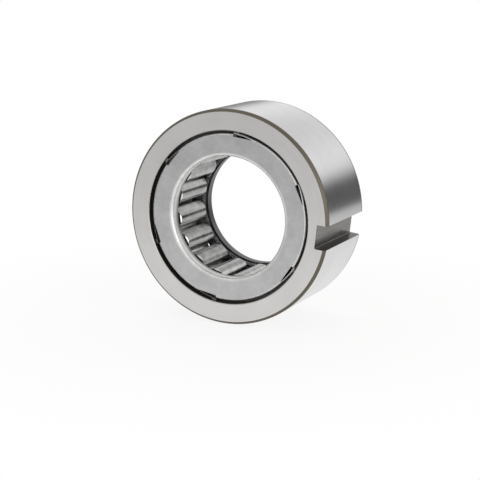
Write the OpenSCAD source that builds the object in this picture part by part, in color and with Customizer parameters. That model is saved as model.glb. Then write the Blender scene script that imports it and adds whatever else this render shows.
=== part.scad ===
// One-way clutch bearing without an inner ring: the shaft itself is the inner race.
// It stands on its rim, with its axis along Y, its front toward -Y and its centre at the origin.
// Angles run counterclockwise from +X as seen from the front.

/* [Shaft and cam space] */
// Diameter of the shaft that the cams grip
shaft_d = 50; // [47:0.5:51]
// Height of the space between the shaft and the outer race
cam_space = 9; // [8.8:0.1:9.3]

/* [Outer ring] */
// Thickness of the wall between the race and the outside
ring_wall = 11; // [10:0.25:14]
// Width from face to face
ring_w = 40; // [38:0.5:46]
// Chamfer on both outer edges
edge_chamfer = 1.1; // [0.5:0.1:1.6]
// Small chamfer that breaks the inner edges
bore_chamfer = 0.3; // [0.1:0.05:0.4]

/* [Keyway] */
// Width of the key that the outside slot takes
key_w = 10; // [8:0.5:12]
// Depth of the slot below the outside
key_depth = 5; // [3:0.5:5.5]
// Direction of the middle of the slot
key_angle = -6.5; // [-20:0.5:20]
// Fillet along the two corners of the slot's floor
key_fillet = 0.4; // [0.2:0.1:0.8]
// Chamfer on the two long edges of the slot's mouth
key_break = 0.2; // [0.1:0.05:0.4]

/* [Side plates] */
// Thickness of the pressed sheet
plate_t = 0.9; // [0.7:0.1:1.1]
// Depth of the plate's face below the ring's face
plate_recess = 1; // [0.6:0.1:1.4]
// Height of the outer flange, from the plate's face to the shoulder it sits on
flange_h = 3.2; // [3:0.1:3.6]
// Height of the inner lip, from the plate's face to its free edge
lip_len = 4.7; // [4.3:0.1:5.4]
// Radial room between the shaft and the inner lip
lip_gap = 0.5; // [0.3:0.1:0.8]
// Width of the shoulder under the outer flange
seat_w = 1.2; // [1:0.1:1.5]
// Inside radius of the bend at the rim
rim_bend = 0.2; // [0.1:0.05:0.4]
// Inside radius of the bend at the lip
lip_bend = 0.6; // [0.4:0.05:0.8]

/* [Lanced tabs] */
// Number of tabs on each plate
tab_count = 6; // [3:1:6]
// Direction of the free end of the first tab
tab_start = -31.5; // [-60:0.5:0]
// Angle from one tab to the next, which leaves a wider space after the last one
tab_pitch = 58.5; // [54:0.5:60]
// Angle that a tab spans
tab_arc = 14; // [10:0.5:18]
// Thickness of the strip that is sprung outward
tab_t = 0.65; // [0.5:0.05:0.7]
// Distance that the free end of the strip stands out from the rim
tab_lift = 0.75; // [0.5:0.05:0.9]
// Width of the slot behind the free end, measured in from the rim
tab_slot = 1.35; // [1.1:0.05:1.6]
// Height of the part of the flange that stays whole below a tab
flange_base = 0.8; // [0.5:0.1:1]
// Width of the shear cuts round a tab
kerf = 0.12; // [0.08:0.02:0.2]
// Height of the barb on the free end
barb_h = 0.5; // [0.4:0.05:0.6]
// Distance from the plate's face to the middle of the barb
barb_setback = 1.5; // [1.3:0.05:1.6]
// Width of the barb along the axis
barb_w = 1; // [0.8:0.1:1.2]
// Angle that the barb spans
barb_arc = 3; // [2:0.5:5]

/* [Snap groove] */
// Depth of the groove in the counterbore
groove_depth = 0.5; // [0.4:0.05:0.7]
// Room on each side of the barb
groove_gap = 0.3; // [0.2:0.05:0.35]

/* [Cams] */
// Direction of the first cam
cam_start = 19.65; // [0:0.01:21]
// Radius of the head that rides in the outer race
head_r = 5.7; // [5.5:0.05:5.9]
// Half width of the head
head_half = 5; // [4.6:0.1:5.1]
// Radius of the corners of the head
head_round = 0.9; // [0.6:0.05:1]
// Radius of the nose that grips the shaft
nose_r = 4.4; // [4.1:0.05:4.7]
// Sideways offset of the nose's centre from the head's centre
nose_offset = 0.6; // [0.3:0.05:0.9]
// Distance from the middle of the cam to the steep side of the nose
nose_half = 2.9; // [2.7:0.05:3.1]
// Radius of the corner on the steep side of the nose
nose_round = 0.8; // [0.5:0.05:0.9]
// Slope of the flat that runs from the nose to the other side
flank_slope = 34; // [30:0.5:36]
// Radius of the hollow above the steep side of the nose
hollow_r = 2; // [1.9:0.05:2.05]
// Distance from the middle of the cam to the bottom of the hollow
hollow_half = 2.6; // [2.6:0.05:2.75]
// Height of the middle of the hollow above the tip of the nose
hollow_height = 3.2; // [3.16:0.02:3.24]
// Chamfer on both ends of the nose
nose_chamfer = 0.5; // [0.3:0.05:0.8]
// Radius of the lug on each end
lug_r = 2.1; // [1.8:0.05:2.2]
// Sideways offset of the lug from the head's centre
lug_x = -0.5; // [-0.8:0.05:-0.2]
// Outward offset of the lug from the head's centre
lug_y = 2.12; // [2:0.02:2.3]

/* [Garter springs] */
// Outside diameter of the coil
coil_d = 2; // [1.6:0.05:2.2]

/* [Running gaps] */
// Room between the shaft and the nose of a cam at rest
nose_lift = 0.36; // [0.34:0.01:0.42]
// Room between the head of a cam and the outer race
race_gap = 0.12; // [0.08:0.01:0.2]
// Room between a spring and the free edge of the lip
lip_spring_gap = 0.3; // [0.2:0.05:0.5]
// Room between a spring and the end of a cam
cam_spring_gap = 0.25; // [0.15:0.05:0.4]
// Room between a spring and the lugs
lug_spring_gap = 0.2; // [0.15:0.05:0.3]
// Room between the end of a lug and the plate
lug_end_gap = 0.4; // [0.3:0.05:0.8]
// Room between the free end of a tab and the counterbore
tab_gap = 0.35; // [0.25:0.05:0.5]

/* [Hidden] */
$fn = 96;

// A full complement: seventeen cams leave no room for another
cam_count = 17;
cam_pitch = 360 / cam_count;

// How far a cut runs on past the surface that it opens
past = 1;
// How far two surfaces that would only touch run through each other, so that they cross cleanly
cross = 0.005;

face_z = ring_w / 2;
race_r = shaft_d / 2 + cam_space;
ring_r = race_r + ring_wall;

// The side plate, from its face inward
plate_z = face_z - plate_recess;
seat_z = plate_z - flange_h;
lip_z = plate_z - lip_len;
lip_r = shaft_d / 2 + lip_gap;
rim_r = race_r + seat_w;
rim_bend_out = rim_bend + plate_t;
lip_bend_out = lip_bend + plate_t;

// The counterbore clears the sprung tabs, and its groove takes their barbs
bore_r = rim_r + tab_lift + tab_gap;
groove_r = bore_r + groove_depth;
groove_z = plate_z - barb_setback;
groove_half = barb_w / 2 + groove_gap;

// A tab is an arc as round as the rim, about a centre shifted toward its free end
tab_shift = tab_lift / sin(tab_arc);
tab_r = sqrt(pow(rim_r, 2) + pow(tab_shift, 2));
tab_centre = at(tab_shift, 90 - tab_arc);
// Angle that a tab's root runs on into the rim, and how far its skin lies under the rim's there
tab_root = 1;
tab_inset = 0.05;

// A cam turns about the centre of its head's arc
pivot_r = race_r - race_gap - head_r;
nose_rest_r = shaft_d / 2 + nose_lift;
nose_y = sqrt(pow(nose_rest_r + nose_r, 2) - pow(nose_offset, 2)) - pivot_r;
hollow_y = nose_y - nose_r + hollow_height;
coil_r = coil_d / 2;
spring_r = pivot_r + lug_y - lug_r - lug_spring_gap - coil_r;
spring_z = lip_z - lip_spring_gap - coil_r;
cam_z = spring_z - coil_r - cam_spring_gap;
lug_z = plate_z - plate_t - lug_end_gap;

ring_steel = [0.75, 0.74, 0.72];
plate_steel = [0.70, 0.72, 0.74];
cam_steel = [0.58, 0.59, 0.59];
spring_steel = [0.36, 0.37, 0.39];

// Stands the bearing up: what is modelled toward +Z turns to face -Y
module upright() {
    rotate([90, 0, 0]) children();
}

// Section of the outer ring, whose two ends are alike
module ring_section() {
    one_end = [
        [race_r, seat_z - bore_chamfer],
        [race_r + bore_chamfer, seat_z],
        [bore_r, seat_z],
        [bore_r, groove_z - groove_half],
        [groove_r, groove_z - groove_half],
        [groove_r, groove_z + groove_half],
        [bore_r, groove_z + groove_half],
        [bore_r, face_z - bore_chamfer],
        [bore_r + bore_chamfer, face_z],
        [ring_r - edge_chamfer, face_z],
        [ring_r, face_z - edge_chamfer]
    ];
    other_end = [for (k = [len(one_end) - 1 : -1 : 0]) [one_end[k][0], -one_end[k][1]]];
    polygon(concat(one_end, other_end));
}

// Section of the keyway, square to the ring's axis, with the slot's depth along +X
module key_section() {
    floor_x = ring_r - key_depth;
    break_x = sqrt(pow(ring_r, 2) - pow(key_w / 2, 2)) - key_break;
    outside_x = ring_r + past;
    outside_half = key_w / 2 + outside_x - break_x;
    translate([floor_x + key_fillet, -key_w / 2]) square([key_depth, key_w]);
    translate([floor_x, key_fillet - key_w / 2]) square([key_depth, key_w - 2 * key_fillet]);
    for (side = [-1, 1])
        translate([floor_x + key_fillet, side * (key_w / 2 - key_fillet)]) circle(r = key_fillet);
    polygon([
        [break_x, -key_w / 2],
        [outside_x, -outside_half],
        [outside_x, outside_half],
        [break_x, key_w / 2]
    ]);
}

module outer_ring() {
    color(ring_steel) upright() difference() {
        rotate_extrude() ring_section();
        rotate([0, 0, key_angle]) translate([0, 0, -face_z - past])
            linear_extrude(ring_w + 2 * past) key_section();
    }
}

// A quarter of a bend in the sheet, in the quadrant that starts at the given direction
module bend_section(outside_r, direction) {
    intersection() {
        difference() {
            circle(r = outside_r);
            circle(r = outside_r - plate_t);
        }
        rotate(direction) square(outside_r);
    }
}

// Section of a side plate: flange, bend, web, bend and lip
module plate_section() {
    translate([rim_r - plate_t, seat_z]) square([plate_t, plate_z - rim_bend_out - seat_z]);
    translate([rim_r - rim_bend_out, plate_z - rim_bend_out]) bend_section(rim_bend_out, 0);
    translate([lip_r + lip_bend_out, plate_z - plate_t])
        square([rim_r - rim_bend_out - lip_r - lip_bend_out, plate_t]);
    translate([lip_r + lip_bend_out, plate_z - lip_bend_out]) bend_section(lip_bend_out, 90);
    translate([lip_r, lip_z]) square([plate_t, plate_z - lip_bend_out - lip_z]);
}

// A point of the plan, given by its radius and direction
function at(r, direction) = [r * cos(direction), r * sin(direction)];

// Direction of a point as seen from the centre of a tab's arc
function seen(point) = atan2(point[1] - tab_centre[1], point[0] - tab_centre[0]);

// The window that the lance opens: a straight cut in the web and the flange beside it.
// The free end of the tab lies along +X, and the tab runs clockwise from there.
module tab_window() {
    far_r = rim_r + 2 * past;
    window_z = seat_z + flange_base;
    translate([0, 0, plate_z - plate_t - past]) linear_extrude(plate_t + 2 * past) polygon([
        at(rim_r - tab_slot, 0),
        at(rim_r - tab_inset - tab_t - kerf, -tab_arc),
        at(far_r, -tab_arc),
        at(far_r, 0)
    ]);
    translate([0, 0, window_z]) linear_extrude(plate_z - plate_t - window_z) polygon([
        at(rim_r - tab_slot, 0),
        at(rim_r - tab_slot, -tab_arc),
        at(far_r, -tab_arc),
        at(far_r, 0)
    ]);
}

// Section of a tab: the thinned flange and the outer side of its bend
module tab_section() {
    bend_r = rim_bend_out - tab_inset;
    low_z = seat_z + flange_base + kerf;
    intersection() {
        union() {
            translate([tab_r - rim_bend_out, plate_z - rim_bend_out]) circle(r = bend_r);
            translate([tab_r - rim_bend_out, low_z]) square([bend_r, plate_z - rim_bend_out - low_z]);
        }
        translate([tab_r - tab_inset - tab_t, low_z]) square([tab_t, flange_h]);
    }
}

// The sprung strip, a length of the flange that leans out toward its free end
module tab_strip() {
    free_angle = seen([rim_r + tab_lift, -kerf]);
    root_angle = seen(at(rim_r, -tab_arc)) - tab_root;
    translate(tab_centre) {
        rotate([0, 0, root_angle]) rotate_extrude(angle = free_angle - root_angle) tab_section();
        rotate([0, 0, free_angle - barb_arc]) rotate_extrude(angle = barb_arc)
            translate([tab_r - tab_t / 2, groove_z - barb_w / 2]) square([tab_t / 2 + barb_h, barb_w]);
    }
}

module side_plate() {
    tab_angles = [for (k = [0 : tab_count - 1]) tab_start + k * tab_pitch];
    difference() {
        rotate_extrude() plate_section();
        for (angle = tab_angles) rotate([0, 0, angle]) tab_window();
    }
    for (angle = tab_angles) rotate([0, 0, angle]) tab_strip();
}

module front_plate() {
    color(plate_steel) upright() side_plate();
}

// The same pressing, turned over
module rear_plate() {
    color(plate_steel) upright() rotate([180, 0, 0]) side_plate();
}

module garter_spring(z) {
    color(spring_steel) upright() translate([0, 0, z])
        rotate_extrude() translate([spring_r, 0]) circle(r = coil_r);
}

// What a fillet takes off the corner between a flank and the end of an arc about a centre.
// The flank lies at a half width on one side, -1 or 1, and the arc ends above or below, 1 or -1.
module corner_waste(centre, radius, half_width, fillet, side, end) {
    fx = side * (half_width - fillet + cross);
    fy = centre[1] + end * sqrt(pow(radius - fillet + cross, 2) - pow(fx - centre[0], 2));
    reach = (radius + fillet) / (radius - fillet);
    outside = [centre[0] + (fx - centre[0]) * reach, centre[1] + (fy - centre[1]) * reach];
    difference() {
        polygon([
            [fx, fy],
            [side * (half_width + past), fy],
            [side * (half_width + past), fy + end * 2 * fillet],
            [outside[0], fy + end * 2 * fillet],
            outside
        ]);
        translate([fx, fy]) circle(r = fillet);
    }
}

// Head of a cam: an arc between two flanks, with filleted corners
module head_section() {
    difference() {
        intersection() {
            circle(r = head_r);
            translate([-head_half, hollow_y]) square([2 * head_half, 2 * head_r]);
        }
        for (side = [-1, 1]) corner_waste([0, 0], head_r, head_half, head_round, side, 1);
    }
}

// Nose of a cam: an arc with one steep side, and on the other a flat that slopes up to the head's flank
module nose_section() {
    centre = [nose_offset, nose_y];
    flat_x = nose_offset + (nose_r - cross) * sin(flank_slope);
    flat_y = nose_y - (nose_r - cross) * cos(flank_slope);
    difference() {
        union() {
            intersection() {
                translate(centre) circle(r = nose_r);
                translate([-nose_half, hollow_y + past - 2 * nose_r])
                    square([nose_half + head_half, 2 * nose_r]);
            }
            polygon([
                [flat_x, flat_y],
                [head_half, flat_y + (head_half - flat_x) * tan(flank_slope)],
                [head_half, hollow_y + past],
                [flat_x, hollow_y + past]
            ]);
        }
        corner_waste(centre, nose_r, nose_half, nose_round, -1, -1);
    }
}

// Section of a cam with its pivot at the origin and the race toward +Y
module cam_section() {
    difference() {
        union() {
            head_section();
            nose_section();
        }
        translate([-hollow_half - hollow_r, hollow_y]) circle(r = hollow_r);
    }
}

module cam(number) {
    chamfer_r = nose_rest_r - cross;
    color(cam_steel) upright() rotate([0, 0, cam_start + (number - 1) * cam_pitch - 90]) {
        difference() {
            translate([0, pivot_r, -cam_z]) linear_extrude(2 * cam_z) cam_section();
            for (turn = [0, 180]) rotate([turn, 0, 0]) translate([0, 0, cam_z - nose_chamfer])
                cylinder(r1 = chamfer_r, r2 = chamfer_r + 2 * nose_chamfer, h = 2 * nose_chamfer);
        }
        translate([lug_x, pivot_r + lug_y, -lug_z]) cylinder(r = lug_r, h = 2 * lug_z);
    }
}

outer_ring();
front_plate();
rear_plate();
garter_spring(spring_z);  // front_garter_spring
garter_spring(-spring_z);  // rear_garter_spring
cam(1);  // cam_01
cam(2);  // cam_02
cam(3);  // cam_03
cam(4);  // cam_04
cam(5);  // cam_05
cam(6);  // cam_06
cam(7);  // cam_07
cam(8);  // cam_08
cam(9);  // cam_09
cam(10);  // cam_10
cam(11);  // cam_11
cam(12);  // cam_12
cam(13);  // cam_13
cam(14);  // cam_14
cam(15);  // cam_15
cam(16);  // cam_16
cam(17);  // cam_17
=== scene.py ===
import math

import bpy
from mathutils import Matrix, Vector


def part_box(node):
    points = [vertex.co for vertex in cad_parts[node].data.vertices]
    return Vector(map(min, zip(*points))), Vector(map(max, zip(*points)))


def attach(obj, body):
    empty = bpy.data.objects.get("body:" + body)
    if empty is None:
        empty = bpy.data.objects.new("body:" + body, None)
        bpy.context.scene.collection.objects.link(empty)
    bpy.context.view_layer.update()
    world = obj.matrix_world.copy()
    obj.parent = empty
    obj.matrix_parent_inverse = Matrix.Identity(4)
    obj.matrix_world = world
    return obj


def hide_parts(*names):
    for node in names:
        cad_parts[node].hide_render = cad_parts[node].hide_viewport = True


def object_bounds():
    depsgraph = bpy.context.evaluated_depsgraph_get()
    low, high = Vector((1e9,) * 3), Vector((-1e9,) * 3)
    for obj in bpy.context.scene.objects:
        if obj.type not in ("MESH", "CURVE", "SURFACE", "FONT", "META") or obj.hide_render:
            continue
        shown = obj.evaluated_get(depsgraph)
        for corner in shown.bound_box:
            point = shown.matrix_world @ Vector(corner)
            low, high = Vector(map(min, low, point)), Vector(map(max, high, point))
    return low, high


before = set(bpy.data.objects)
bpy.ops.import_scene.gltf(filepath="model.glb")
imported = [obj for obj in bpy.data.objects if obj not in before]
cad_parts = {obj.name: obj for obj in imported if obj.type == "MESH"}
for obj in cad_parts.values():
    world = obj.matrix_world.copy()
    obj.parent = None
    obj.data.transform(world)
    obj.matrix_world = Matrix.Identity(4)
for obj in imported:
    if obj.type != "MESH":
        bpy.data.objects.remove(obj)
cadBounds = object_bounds()
mm = 0.001
print("frame loaded:", len(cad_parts), "nodes")

sharp, soft = 0.03, 0.1  # how far a zone's edge blends to each side: in mm, or as part of a unit direction
noiseRange = (0.3, 0.7)  # nearly all of a noise texture's values lie between these


def linear(hexText):  # sRGB hex to the linear colour that shaders use
    parts = [int(hexText[i:i + 2], 16) / 255 for i in (1, 3, 5)]
    return [c / 12.92 if c <= 0.04045 else ((c + 0.055) / 1.055) ** 2.4 for c in parts] + [1.0]


def addNode(tree, kind, inputs=(), **settings):
    # Inputs come in the order of the open sockets, or by name in a dictionary.
    # A node that is given as an input stands for its first open output.
    node = tree.nodes.new(kind)
    for name, value in settings.items():
        setattr(node, name, value)
    if isinstance(inputs, dict):
        sockets, values = [node.inputs[name] for name in inputs], inputs.values()
    else:
        sockets, values = [socket for socket in node.inputs if socket.enabled], inputs
    for socket, value in zip(sockets, values):
        if isinstance(value, bpy.types.Node):
            value = next(output for output in value.outputs if output.enabled)
        if isinstance(value, bpy.types.NodeSocket):
            tree.links.new(value, socket)
        else:
            socket.default_value = value
    return node


def ringPlace(tree):  # where a point lies on the bearing and how its surface turns, with lengths in mm
    place = addNode(tree, "ShaderNodeTexCoord").outputs["Object"]
    flat = addNode(tree, "ShaderNodeVectorMath", [place, (1 / mm, 0, 1 / mm)], operation="MULTIPLY")
    along = addNode(tree, "ShaderNodeSeparateXYZ", [place]).outputs["Y"]
    along = addNode(tree, "ShaderNodeMath", [along, 1 / mm], operation="MULTIPLY")
    normal = addNode(tree, "ShaderNodeNewGeometry").outputs["Normal"]
    axial = addNode(tree, "ShaderNodeSeparateXYZ", [normal]).outputs["Y"]
    outward = addNode(tree, "ShaderNodeVectorMath", [flat], operation="NORMALIZE")
    return dict(
        place=place,  # in m
        outward=outward,
        radius=addNode(tree, "ShaderNodeVectorMath", [flat], operation="LENGTH"),
        along=along,  # from halfway across toward the rear
        end=addNode(tree, "ShaderNodeMath", [along], operation="ABSOLUTE"),  # and toward either end
        # 1 where the surface faces away from the axis, and -1 where it faces the axis
        turnedOut=addNode(tree, "ShaderNodeVectorMath", [normal, outward], operation="DOT_PRODUCT"),
        # 1 where the surface faces an end, and 0 where it faces in or out
        facing=addNode(tree, "ShaderNodeMath", [axial], operation="ABSOLUTE"))


def area(tree, where, limits):
    # 1 where each measure named in limits lies between its low and its high, and 0 elsewhere. The third
    # number is how far the edge blends to each side, and None leaves a side open.
    steps = []
    for measure, (low, high, blend) in limits.items():
        if low is not None:
            steps.append((where[measure], low - blend, low + blend))
        if high is not None:
            steps.append((where[measure], high + blend, high - blend))
    masks = [addNode(tree, "ShaderNodeMapRange", step, interpolation_type="SMOOTHSTEP") for step in steps]
    mask = masks[0]
    for other in masks[1:]:
        mask = addNode(tree, "ShaderNodeMath", [mask, other], operation="MULTIPLY")
    return mask


def layZones(tree, where, base, zones):  # each zone's colour and roughness, over those of the zones before it
    color, rough = linear(base[0]), base[1]
    for (hexText, roughness), limits in zones:
        mask = area(tree, where, limits)
        color = addNode(tree, "ShaderNodeMix", [mask, color, linear(hexText)], data_type="RGBA")
        rough = addNode(tree, "ShaderNodeMix", [mask, rough, roughness])
    return color, rough


def turnedLines(tree, where, look):
    # Marks of a wheel or a die that runs round the axis, lineSpacing apart in mm. Each is about a radian
    # divided by linesPerRadian long.
    travel = addNode(tree, "ShaderNodeMath", [where["radius"], where["along"]], operation="ADD")
    travel = addNode(tree, "ShaderNodeMath", [travel, 1 / look["lineSpacing"]], operation="MULTIPLY")
    travel = addNode(tree, "ShaderNodeCombineXYZ", {"Y": travel})
    turning = (look["linesPerRadian"],) * 3
    vector = addNode(tree, "ShaderNodeVectorMath", [where["outward"], turning, travel],
                     operation="MULTIPLY_ADD")
    return addNode(tree, "ShaderNodeTexNoise", {
        "Vector": vector, "Scale": 1.0, "Detail": 3.0, "Roughness": 0.6})


def shadeBy(tree, color, pattern, shades):  # a colour, darker and lighter with a pattern
    shade = addNode(tree, "ShaderNodeMapRange", [pattern, *noiseRange, *shades])
    return addNode(tree, "ShaderNodeMix", [1.0, color, shade], data_type="RGBA", blend_type="MULTIPLY")


def metal(name, build):  # a bare metal from the colour, roughness and bump height that build() lays out
    material = bpy.data.materials.new(name)
    material.use_nodes = True
    tree = material.node_tree
    shader = tree.nodes["Principled BSDF"]
    color, rough, height, depth = build(tree)
    bump = addNode(tree, "ShaderNodeBump", {"Strength": 1.0, "Distance": depth * mm, "Height": height})
    shader.inputs["Metallic"].default_value = 1.0
    tree.links.new(color.outputs[2], shader.inputs["Base Color"])  # a Mix node's third output is its colour
    tree.links.new(rough.outputs[0], shader.inputs["Roughness"])
    tree.links.new(bump.outputs[0], shader.inputs["Normal"])
    return material


groundRing = dict(
    # Finishes, each a colour and a roughness
    outside=("#D1D1D1", 0.17), face=("#D8D6D4", 0.32), innerEdge=("#BCBAB7", 0.45), chamfer=("#6A645A", 0.48),
    # slot: partly painted shade; slot walls and recess: painted shade; race: painted light
    slot=("#7B7875", 0.28), slotWallShade=("#55514D", 0.3), recess=("#5E5C59", 0.45), race=("#E2E2E0", 0.36),
    # Where each of them starts or ends: radii and distances from halfway across in mm, and, as ringPlace gives
    # them, how far a surface faces an end or turns outward
    slotRadius=39.9, slotTop=44.9, slotFacing=0.3, wallTurn=0.5,
    slopeFacing=0.4, faceFacing=0.95, chamferRadius=42.0,
    rimRadius=44.93, rimEnd=18.3,  # the chamfer's colour runs a little way on to the outside
    recessRadius=37.5, recessEnd=19.65, raceRadius=34.5,
    # Patterns, with sizes and depths in mm, and how much each darkens, lightens and roughens
    lineSpacing=0.35, linesPerRadian=2.2, lineDepth=0.0016, lineShade=(0.955, 1.035), lineRoughness=0.08,
    cloudSize=11.11, cloudShade=(0.96, 1.03),
    broachSpacing=0.5, broachStretch=25, broachShade=(0.72, 1.18))


def groundSteel(tree):
    # Through-hardened bearing steel, ground outside and on its faces: a satin gloss with fine lines round the
    # axis. The chamfer and the slot are cut before hardening and not ground after, so they are dull and a
    # little brown, and the slot keeps the streaks of its broach. The slot is also darkened with painted shade,
    # its walls and the recess under the side plates are painted shade, and the race is painted paler as
    # painted light between the cams. Real lines and streaks are a few hundredths of a millimetre apart, too
    # fine to show, so both are drawn wider.
    look = groundRing
    where = ringPlace(tree)
    slope = dict(facing=(look["slopeFacing"], look["faceFacing"], sharp))
    slot = dict(radius=(look["slotRadius"], look["slotTop"], sharp), facing=(None, look["slotFacing"], sharp))
    recess = dict(radius=(None, look["recessRadius"], soft), end=(None, look["recessEnd"], sharp))
    color, rough = layZones(tree, where, look["outside"], (
        # the slot: its dull brown, darkened further with painted shade
        (look["slot"], slot),
        # the slot's walls: painted shade
        (look["slotWallShade"], dict(slot, turnedOut=(-look["wallTurn"], look["wallTurn"], soft))),
        (look["face"], dict(facing=(look["faceFacing"], None, sharp))),
        (look["innerEdge"], slope),
        (look["chamfer"], dict(slope, radius=(look["chamferRadius"], None, soft))),
        (look["chamfer"], dict(radius=(look["rimRadius"], None, sharp), end=(look["rimEnd"], None, soft))),
        # the recess under the side plates: painted shade
        (look["recess"], recess),
        # the race: painted paler, as painted light between the cams
        (look["race"], dict(radius=(None, look["raceRadius"], soft))),
    ))
    stretch = addNode(tree, "ShaderNodeMapping",
                      {"Vector": where["place"], "Scale": (1.0, 1 / look["broachStretch"], 1.0)})
    broach = addNode(tree, "ShaderNodeTexNoise", {
        "Vector": stretch, "Scale": 1 / (look["broachSpacing"] * mm), "Detail": 3.0, "Roughness": 0.6})
    streaked = shadeBy(tree, color, broach, look["broachShade"])
    color = addNode(tree, "ShaderNodeMix", [area(tree, where, slot), color, streaked], data_type="RGBA")
    lines = turnedLines(tree, where, look)
    cloud = addNode(tree, "ShaderNodeTexNoise", {
        "Vector": where["place"], "Scale": 1 / (look["cloudSize"] * mm), "Detail": 3.0, "Roughness": 0.55})
    color = shadeBy(tree, color, lines, look["lineShade"])
    color = shadeBy(tree, color, cloud, look["cloudShade"])
    rough = addNode(tree, "ShaderNodeMath", [lines, look["lineRoughness"], rough], operation="MULTIPLY_ADD")
    return color, rough, lines, look["lineDepth"]


pressedPlate = dict(
    # Finishes, each a colour and a roughness
    # bend and throat: painted highlight; lip: painted shade deeper in the bore
    web=("#C1C1C2", 0.34), bend=("#E6E6E4", 0.42), throat=("#F8F8F6", 0.46), lip=("#8E8E8D", 0.34),
    # rear lip, hidden inner faces and tab insides: painted shade
    rearLipShade=("#6C6C6B", 0.36), hidden=("#B8B7B6", 0.4), tabInsideShade=("#454443", 0.5),
    # Where each of them starts or ends: radii and distances from halfway across in mm, and, as ringPlace gives
    # them, how far a surface faces an end or turns outward
    bendRadius=26.8, bendBlend=0.6, bendFacing=0.95, throatRadius=26.6, throatFacing=0.6, throatBlend=0.3,
    lipEnd=15.6, lipBlend=1.3, hiddenEnd=18.2, hiddenBlend=0.05, tabRadius=33.5, tabTurn=-0.5,
    # Patterns, with sizes and depths in mm, and how much each darkens, lightens, roughens and stands up
    lineSpacing=0.5, linesPerRadian=3.0, lineShade=(0.96, 1.04), lineHeight=0.4,
    grainSize=1.5, grainDepth=0.012, grainShade=(0.95, 1.05),
    stainSize=9.0, stainShade=(0.92, 1.08), stainRoughness=0.12)


def pressedSteel(tree):
    # Cold-rolled sheet, blanked and drawn: a mottled satin with faint marks of the die. Where the sheet bends
    # or turns from its face it is painted pale as painted highlight, and the lip's wall near white, also
    # painted highlight. The lip's wall deeper in, the rear plate's lip, the plates' inner faces and the
    # insides of the tabs are darkened with painted shade. Real grain and marks are some hundredths of a
    # millimetre across, too fine to show, so both are drawn coarser.
    look = pressedPlate
    where = ringPlace(tree)
    throat = dict(radius=(None, look["throatRadius"], soft))
    webBack = dict(radius=(look["throatRadius"], None, soft),
                   end=(None, look["hiddenEnd"], look["hiddenBlend"]))
    tabBack = dict(radius=(look["tabRadius"], None, soft), turnedOut=(None, look["tabTurn"], soft))
    color, rough = layZones(tree, where, look["web"], (
        # where the sheet bends or turns from its face: painted highlight
        (look["bend"], dict(radius=(None, look["bendRadius"], look["bendBlend"]))),
        (look["bend"], dict(facing=(None, look["bendFacing"], sharp))),
        # the lip's wall: near white, painted highlight
        (look["throat"], dict(throat, facing=(None, look["throatFacing"], look["throatBlend"]))),
        # the lip's wall deeper in: painted shade
        (look["lip"], dict(throat, end=(None, look["lipEnd"], look["lipBlend"]))),
        # the rear plate's lip: painted shade
        (look["rearLipShade"], dict(throat, along=(0.0, None, soft))),
        # the plates' inner faces: a little darker than the web, painted shade
        (look["hidden"], webBack),
        # the insides of the tabs: painted shade
        (look["tabInsideShade"], tabBack),
    ))
    lines = turnedLines(tree, where, look)
    grain = addNode(tree, "ShaderNodeTexNoise", {
        "Vector": where["place"], "Scale": 1 / (look["grainSize"] * mm), "Detail": 4.0, "Roughness": 0.6})
    stain = addNode(tree, "ShaderNodeTexNoise", {
        "Vector": where["place"], "Scale": 1 / (look["stainSize"] * mm), "Detail": 3.0, "Roughness": 0.6})
    color = shadeBy(tree, color, grain, look["grainShade"])
    color = shadeBy(tree, color, stain, look["stainShade"])
    color = shadeBy(tree, color, lines, look["lineShade"])
    rough = addNode(tree, "ShaderNodeMath", [stain, look["stainRoughness"], rough], operation="MULTIPLY_ADD")
    height = addNode(tree, "ShaderNodeMath", [lines, look["lineHeight"], grain], operation="MULTIPLY_ADD")
    return color, rough, height, look["grainDepth"]


tiltingCam = dict(
    # Finishes, each a colour and a roughness
    # flank: painted light between the cams; end: painted shade; edge: painted highlight
    nose=("#A6A6A5", 0.14), flank=("#DEDDDC", 0.3), end=("#626261", 0.4), edge=("#DCDBD8", 0.2),
    # Where each of them starts or ends: a radius in mm, and how far a surface faces an end
    flankRadius=26.1, flankBlend=0.35, endFacing=0.97, endBlend=0.02, edgeFacing=(0.4, 0.9),
    # Patterns, with sizes and depths in mm, and how much each darkens, lightens, roughens and stands up
    lineSpacing=0.7, lineStretch=20, lineDepth=0.008, lineShade=(0.9, 1.06),
    cloudSize=4.0, cloudShade=(0.76, 1.1), cloudRoughness=0.14, cloudHeight=14.0)


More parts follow.
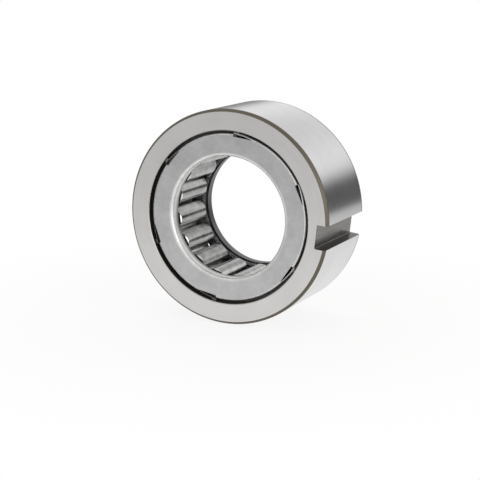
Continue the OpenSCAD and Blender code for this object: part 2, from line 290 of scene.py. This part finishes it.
def camSteel(tree):
    # Drawn profile, hardened and tumbled: the nose is polished, so it reflects sharply, with faint lines
    # along the way it was drawn. They are wider than real ones, which are too fine to show. The flanks keep
    # a duller skin and are painted paler, as painted light between the cams. The flat ends are darkened
    # with painted shade, and the edges round them are painted bright, as a painted highlight.
    look = tiltingCam
    where = ringPlace(tree)
    color, rough = layZones(tree, where, look["nose"], (
        # the flanks: a duller skin, painted paler as painted light between the cams
        (look["flank"], dict(radius=(look["flankRadius"], None, look["flankBlend"]))),
        # the flat ends: painted shade
        (look["end"], dict(facing=(look["endFacing"], None, look["endBlend"]))),
        # the edges round the ends: painted highlight
        (look["edge"], dict(facing=(*look["edgeFacing"], soft))),
    ))
    stretch = addNode(tree, "ShaderNodeMapping",
                      {"Vector": where["place"], "Scale": (1.0, 1 / look["lineStretch"], 1.0)})
    lines = addNode(tree, "ShaderNodeTexNoise", {
        "Vector": stretch, "Scale": 1 / (look["lineSpacing"] * mm), "Detail": 1.0, "Roughness": 0.5})
    cloud = addNode(tree, "ShaderNodeTexNoise", {
        "Vector": where["place"], "Scale": 1 / (look["cloudSize"] * mm), "Detail": 1.0, "Roughness": 0.5})
    color = shadeBy(tree, color, lines, look["lineShade"])
    color = shadeBy(tree, color, cloud, look["cloudShade"])
    rough = addNode(tree, "ShaderNodeMath", [cloud, look["cloudRoughness"], rough], operation="MULTIPLY_ADD")
    height = addNode(tree, "ShaderNodeMath", [cloud, look["cloudHeight"], lines], operation="MULTIPLY_ADD")
    return color, rough, height, look["lineDepth"]


def dress(node, material):
    for materialSlot in node.material_slots:
        materialSlot.material = material


ringMaterial = metal("ground bearing steel", groundSteel)
plateMaterial = metal("pressed sheet steel", pressedSteel)
camMaterial = metal("tumbled cam steel", camSteel)
for name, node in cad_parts.items():
    if name == "outer_ring":
        dress(node, ringMaterial)
    elif name.endswith("plate"):
        dress(node, plateMaterial)
    elif name.startswith("cam_"):
        dress(node, camMaterial)
print("ring, plates and cams have their materials")

garterSpring = dict(
    wire=0.42, pitch=0.72, turnPoints=14, wireSides=8,  # wire and pitch in mm
    clean=("#A9AAAB", 0.26), oily=("#7C7D7F", 0.34),  # finishes, each a colour and a roughness
    patchSize=1.43, patchFrom=0.5, patchDepth=0.002)  # size and depth in mm


def springWire(tree):
    # Drawn music wire with a film of oil: a grey gloss, darker and duller in patches where the oil lies
    look = garterSpring
    place = addNode(tree, "ShaderNodeTexCoord").outputs["Object"]
    patches = addNode(tree, "ShaderNodeTexNoise", {
        "Vector": place, "Scale": 1 / (look["patchSize"] * mm), "Detail": 2.0, "Roughness": 0.5})
    color, rough = layZones(tree, {"patches": patches}, look["clean"], (
        (look["oily"], dict(patches=(look["patchFrom"], None, soft))),
    ))
    return color, rough, patches, look["patchDepth"]


def coilTree():  # a wire coil closed into a ring about Y
    tree = bpy.data.node_groups.new("garter coil", "GeometryNodeTree")
    tree.interface.new_socket("Geometry", in_out="OUTPUT", socket_type="NodeSocketGeometry")
    sockets = {}
    for name, kind in (("Ring radius", "NodeSocketFloat"), ("Coil radius", "NodeSocketFloat"),
                       ("Along axis", "NodeSocketFloat"), ("Turns", "NodeSocketInt"),
                       ("Points per turn", "NodeSocketInt"), ("Wire radius", "NodeSocketFloat"),
                       ("Wire sides", "NodeSocketInt"), ("Material", "NodeSocketMaterial")):
        sockets[name] = tree.interface.new_socket(name, in_out="INPUT", socket_type=kind).identifier
    given = addNode(tree, "NodeGroupInput").outputs
    count = addNode(tree, "ShaderNodeMath", [given["Turns"], given["Points per turn"]], operation="MULTIPLY")
    # The angle round the axis, the angle round the coil, and the place that they give
    index = addNode(tree, "GeometryNodeInputIndex")
    step = addNode(tree, "ShaderNodeMath", [index, count], operation="DIVIDE")
    turn = addNode(tree, "ShaderNodeMath", [step, 2 * math.pi], operation="MULTIPLY")
    twist = addNode(tree, "ShaderNodeMath", [turn, given["Turns"]], operation="MULTIPLY")
    swell = addNode(tree, "ShaderNodeMath", [twist], operation="COSINE")
    reach = addNode(tree, "ShaderNodeMath", [swell, given["Coil radius"], given["Ring radius"]],
                    operation="MULTIPLY_ADD")
    sway = addNode(tree, "ShaderNodeMath", [twist], operation="SINE")
    side = addNode(tree, "ShaderNodeMath", [sway, given["Coil radius"], given["Along axis"]],
                   operation="MULTIPLY_ADD")
    across = addNode(tree, "ShaderNodeMath", [turn], operation="COSINE")
    across = addNode(tree, "ShaderNodeMath", [across, reach], operation="MULTIPLY")
    up = addNode(tree, "ShaderNodeMath", [turn], operation="SINE")
    up = addNode(tree, "ShaderNodeMath", [up, reach], operation="MULTIPLY")
    place = addNode(tree, "ShaderNodeCombineXYZ", [across, side, up])
    points = addNode(tree, "GeometryNodeMeshLine", [count])
    moved = addNode(tree, "GeometryNodeSetPosition", {"Geometry": points, "Position": place})
    path = addNode(tree, "GeometryNodeMeshToCurve", [moved])
    closed = addNode(tree, "GeometryNodeSetSplineCyclic", {"Geometry": path, "Cyclic": True})
    profile = addNode(tree, "GeometryNodeCurvePrimitiveCircle", [given["Wire sides"], given["Wire radius"]])
    wire = addNode(tree, "GeometryNodeCurveToMesh", [closed, profile])
    smooth = addNode(tree, "GeometryNodeSetShadeSmooth", [wire])
    real = addNode(tree, "GeometryNodeRealizeInstances", [smooth])
    done = addNode(tree, "GeometryNodeSetMaterial", {"Geometry": real, "Material": given["Material"]})
    addNode(tree, "NodeGroupOutput", [done])
    return tree, sockets


def meshFromTree(name, tree, sockets, values):  # runs a node tree and keeps its result as a plain mesh
    holder = bpy.data.objects.new(name + "_source", bpy.data.meshes.new(name + "_source"))
    bpy.context.scene.collection.objects.link(holder)
    modifier = holder.modifiers.new("nodes", "NODES")
    modifier.node_group = tree
    for label, value in values.items():
        modifier[sockets[label]] = value
    holder.update_tag()
    evaluated = holder.evaluated_get(bpy.context.evaluated_depsgraph_get())
    mesh = bpy.data.meshes.new_from_object(evaluated)
    holder.modifiers.remove(modifier)
    bpy.data.objects.remove(holder)
    piece = bpy.data.objects.new(name, mesh)
    bpy.context.scene.collection.objects.link(piece)
    return piece


def garterCoil(node, look):  # a coil that fills the space of the plain ring it replaces
    low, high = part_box(node)
    coilRadius = (high.y - low.y) / 2
    ringRadius = high.x - coilRadius
    wireRadius = look["wire"] * mm / 2
    turns = round(2 * math.pi * ringRadius / (look["pitch"] * mm))
    values = {
        "Ring radius": ringRadius, "Coil radius": coilRadius - wireRadius, "Along axis": (high.y + low.y) / 2,
        "Turns": turns, "Points per turn": look["turnPoints"],
        "Wire radius": wireRadius, "Wire sides": look["wireSides"], "Material": wireMaterial,
    }
    coil = meshFromTree(node + "_coil", springTree, springSockets, values)
    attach(coil, "cam_set")
    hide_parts(node)
    return coil


wireMaterial = metal("drawn spring wire", springWire)
springTree, springSockets = coilTree()
for node in ("front_garter_spring", "rear_garter_spring"):
    coil = garterCoil(node, garterSpring)
    print(coil.name, len(coil.data.polygons), "faces")

studio = dict(
    floorHalf=0.45, floorColor="#F2F1EF", floorRoughness=0.9,  # half the floor's side in m
    # The shadow fades and the floor's gloss dims from the first distance to the second, in m from the
    # bearing's centre. shadowShare is how much of the floor's plain shading, and so of the shadow, shows.
    shadowShare=0.16, shadowReach=(0.07, 0.2), glossReach=(0.1, 0.42), farGloss=0.64,
    # Height of a direction, from -1 down to 1 up, and how bright the room is there, ahead of the bearing and
    # behind it. It turns from one to the other where a direction's Y is between the two of roomTurn.
    ahead=((-1.0, 0.8), (-0.3, 0.8), (-0.08, 0.64), (0.1, 0.66), (0.5, 0.8), (1.0, 0.85)),
    behind=((-1.0, 0.8), (-0.3, 0.78), (-0.1, 0.14), (0.1, 0.1), (0.21, 1.06), (0.34, 1.06), (0.47, 0.68),
            (0.66, 0.84), (1.0, 0.95)),
    roomTurn=(0.25, 0.75))


def buildFloor(look):
    # A pale sheet, which is white to the camera and in gloss, though dimmer in gloss further off. Near the
    # bearing it keeps some plain shading, which takes the shadow.
    lowest, half = cadBounds[0][2], look["floorHalf"]
    mesh = bpy.data.meshes.new("floor")
    corners = [(-half, -half, lowest), (half, -half, lowest), (half, half, lowest), (-half, half, lowest)]
    mesh.from_pydata(corners, [], [(0, 1, 2, 3)])
    floor = bpy.data.objects.new("floor", mesh)
    bpy.context.scene.collection.objects.link(floor)
    material = bpy.data.materials.new("pale studio sheet")
    material.use_nodes = True
    tree = material.node_tree
    shader = tree.nodes["Principled BSDF"]
    shader.inputs["Base Color"].default_value = linear(look["floorColor"])
    shader.inputs["Roughness"].default_value = look["floorRoughness"]
    place = addNode(tree, "ShaderNodeTexCoord").outputs["Object"]
    away = addNode(tree, "ShaderNodeVectorMath", [place], operation="LENGTH")
    share = addNode(tree, "ShaderNodeMapRange", [away, *look["shadowReach"], look["shadowShare"], 0.0],
                    interpolation_type="SMOOTHSTEP")
    rays = addNode(tree, "ShaderNodeLightPath").outputs
    seen = addNode(tree, "ShaderNodeMath", [rays["Is Camera Ray"], rays["Is Glossy Ray"]],
                   operation="MAXIMUM")
    seen = addNode(tree, "ShaderNodeMath", [seen, rays["Is Transmission Ray"]], operation="MAXIMUM")
    gloss = addNode(tree, "ShaderNodeMapRange", [away, *look["glossReach"], 1.0, look["farGloss"]])
    level = addNode(tree, "ShaderNodeMath", [gloss, rays["Is Camera Ray"]], operation="MAXIMUM")
    glow = addNode(tree, "ShaderNodeEmission", [(1, 1, 1, 1), level])
    sheet = addNode(tree, "ShaderNodeMixShader", [share, glow, shader])
    mixed = addNode(tree, "ShaderNodeMixShader", [seen, shader, sheet])
    tree.links.new(mixed.outputs[0], tree.nodes["Material Output"].inputs["Surface"])
    mesh.materials.append(material)


def buildWorld(look):
    # White to the camera. The metal sees a pale room, a little dimmer at its own height, and behind the
    # bearing a dark gap at that height with a bright strip above it.
    world = bpy.data.worlds.new("studio")
    bpy.context.scene.world = world
    world.use_nodes = True
    tree = world.node_tree
    direction = addNode(tree, "ShaderNodeTexCoord").outputs["Generated"]
    part = addNode(tree, "ShaderNodeSeparateXYZ", [direction]).outputs
    height = addNode(tree, "ShaderNodeMapRange", [part["Z"], -1.0, 1.0])
    sides = []
    for side in ("ahead", "behind"):
        ramp = addNode(tree, "ShaderNodeValToRGB", [height])
        stops = ramp.color_ramp.elements
        while len(stops) < len(look[side]):
            stops.new(0.5)
        for stop, (place, level) in zip(stops, look[side]):
            stop.position = (place + 1) / 2
            stop.color = (level, level, level, 1)
        sides.append(ramp)
    back = addNode(tree, "ShaderNodeMapRange", [part["Y"], *look["roomTurn"]],
                   interpolation_type="SMOOTHSTEP")
    room = addNode(tree, "ShaderNodeMix", [back] + sides, data_type="RGBA")
    isCamera = addNode(tree, "ShaderNodeLightPath").outputs["Is Camera Ray"]
    color = addNode(tree, "ShaderNodeMix", [isCamera, room, (1, 1, 1, 1)], data_type="RGBA")
    tree.links.new(color.outputs[2], tree.nodes["Background"].inputs["Color"])


softboxes = dict(  # place and aim in m, width and height in m, and power in W
    key=((0.9, -0.45, 0.15), (0, 0, 0), (0.7, 0.8), 3.5),
    top=((-0.3, 0.4, 1.0), (0, 0, 0), (0.8, 0.8), 2.0))


def addSoftbox(name, spot, aim, size, power):
    data = bpy.data.lights.new(name, "AREA")
    data.shape = "RECTANGLE"
    data.size, data.size_y = size
    data.energy = power
    light = bpy.data.objects.new(name, data)
    light.location = spot
    light.rotation_euler = (Vector(aim) - Vector(spot)).to_track_quat("-Z", "Y").to_euler()
    bpy.context.scene.collection.objects.link(light)


buildFloor(studio)
buildWorld(studio)
for name, box in softboxes.items():
    addSoftbox(name, *box)

viewpoint = dict(  # angles in degrees, and lengths in mm
    azimuth=25.06, elevation=10.23, distance=589.9, aim=(-1.5, -3.5, -12.3),
    lens=104.24, sensor=36.0, nearClip=10.0)


def buildCamera(look):
    azimuth, elevation = math.radians(look["azimuth"]), math.radians(look["elevation"])
    reach = look["distance"] * mm
    spot = Vector((math.sin(azimuth) * math.cos(elevation), -math.cos(azimuth) * math.cos(elevation),
                   math.sin(elevation))) * reach
    data = bpy.data.cameras.new("camera")
    data.lens = look["lens"]
    data.sensor_width = look["sensor"]
    data.clip_start = look["nearClip"] * mm
    camera = bpy.data.objects.new("camera", data)
    camera.location = spot
    camera.rotation_euler = (Vector(look["aim"]) * mm - spot).to_track_quat("-Z", "Y").to_euler()
    bpy.context.scene.collection.objects.link(camera)
    bpy.context.scene.camera = camera


buildCamera(viewpoint)
bpy.context.scene.view_settings.view_transform = "Standard"
print("studio and camera set")
